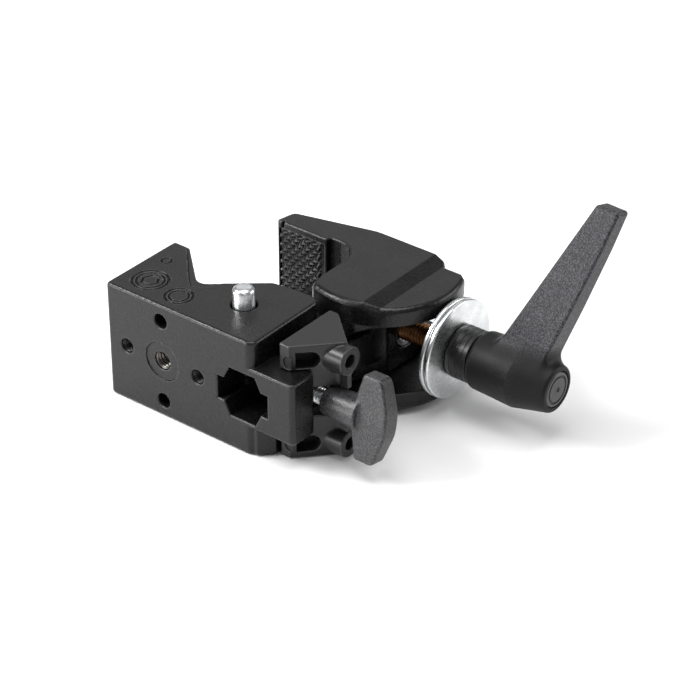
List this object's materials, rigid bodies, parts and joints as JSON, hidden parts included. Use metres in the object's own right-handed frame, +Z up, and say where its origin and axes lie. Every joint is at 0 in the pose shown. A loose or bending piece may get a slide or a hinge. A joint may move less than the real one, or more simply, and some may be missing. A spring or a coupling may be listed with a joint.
{
  "type": "super clamp",
  "caption": "Super clamp with a V jaw and hex stud socket, a hinged padded jaw driven by a ratchet-lever screw, a spring lock pin, a T-knob and a stored wedge.",
  "frame": {"origin": "middle of the bounding box in plan, on the flat underside that the clamp lies on", "axes": "+X from the V along the front plate to the lever, +Y from the front plate to the moving jaw, +Z up along the axis of a clamped tube"},
  "size_m": [0.1414, 0.086, 0.0814],
  "materials": {
    "black_cast_aluminium": "satin black powder coat with a fine grain over cast aluminium",
    "black_moulded_plastic": "moulded, rough spark-eroded grain",
    "dark_grey_plastic": "moulded, smoother satin",
    "black_rubber": "moulded pyramids",
    "bright_zinc": "bright zinc plating on steel, fine turning marks",
    "steel": "plain machined steel",
    "bronze_plated_steel": "bronze-brown plating on a rolled thread",
    "brass": "turned"
  },
  "bodies": {
    "clamp_body": {"body_casting": "black_cast_aluminium", "camera_thread_insert": "steel", "clamp_nut": "steel", "pivot_pin": "steel", "pivot_pin_ring": "steel", "lock_pin_plug": "steel", "lock_pin_spring": "steel"},
    "lock_pin": {"lock_pin": "bright_zinc"},
    "jaw": {"jaw_casting": "black_cast_aluminium", "jaw_pad": "black_rubber"},
    "screw_carriage": {"washer_inner": "bright_zinc", "washer_outer": "bright_zinc"},
    "clamp_screw": {"screw_stud": "bronze_plated_steel", "lever_sleeve": "black_moulded_plastic", "lever_retaining_screw": "steel", "lever_spring": "steel"},
    "lever": {"lever_handle": "black_moulded_plastic", "lever_end_cap": "dark_grey_plastic"},
    "knob_carriage": {"knob_pressure_tip": "brass"},
    "knob": {"t_knob_stud": "bright_zinc", "t_knob_wing": "black_moulded_plastic"},
    "wedge": {"wedge_insert": "dark_grey_plastic"}
  },
  "joints": [
    {"name": "lock_pin_push", "type": "slide", "parent": "clamp_body", "child": "lock_pin", "axis": [0, 0, -1], "range_m": [0, 0.0053], "stiffness_N_per_m": 500, "springref_m": -0.003, "deforming": ["lock_pin_spring"]},
    {"name": "jaw_pivot", "type": "hinge", "parent": "clamp_body", "child": "jaw", "pos_m": [-0.0127, 0.00103, 0.021], "axis": [0, 0, 1], "range_deg": [-32.02, 46.02]},
    {"name": "screw_travel", "type": "slide", "parent": "clamp_body", "child": "screw_carriage", "axis": [1, 0, 0], "range_m": [-0.01639, 0.0114]},
    {"name": "screw_turn", "type": "hinge", "parent": "screw_carriage", "child": "clamp_screw", "pos_m": [0.0223, 0.02173, 0.021], "axis": [1, 0, 0], "range_deg": [-4717, 3281]},
    {"name": "lever_pull", "type": "slide", "parent": "clamp_screw", "child": "lever", "axis": [1, 0, 0], "range_m": [0, 0.005], "stiffness_N_per_m": 900, "springref_m": -0.004, "deforming": ["lever_spring"]},
    {"name": "knob_travel", "type": "slide", "parent": "clamp_body", "child": "knob_carriage", "axis": [1, 0, 0], "range_m": [-0.003, 0.004]},
    {"name": "knob_turn", "type": "hinge", "parent": "knob_carriage", "child": "knob", "pos_m": [0.0093, -0.02697, 0.021], "axis": [1, 0, 0], "range_deg": [-1084, 1444]},
    {"name": "wedge_play", "type": "slide", "parent": "clamp_body", "child": "wedge", "axis": [1, 0, 0], "range_m": [0, 0.0026]}
  ],
  "couplings": [
    {"joint": "screw_travel", "follows": "screw_turn", "m_per_rad": 0.00019894},
    {"joint": "jaw_pivot", "follows": "screw_turn", "ratio": -0.0097521},
    {"joint": "knob_turn", "follows": "knob_travel", "rad_per_m": 6283.2}
  ]
}
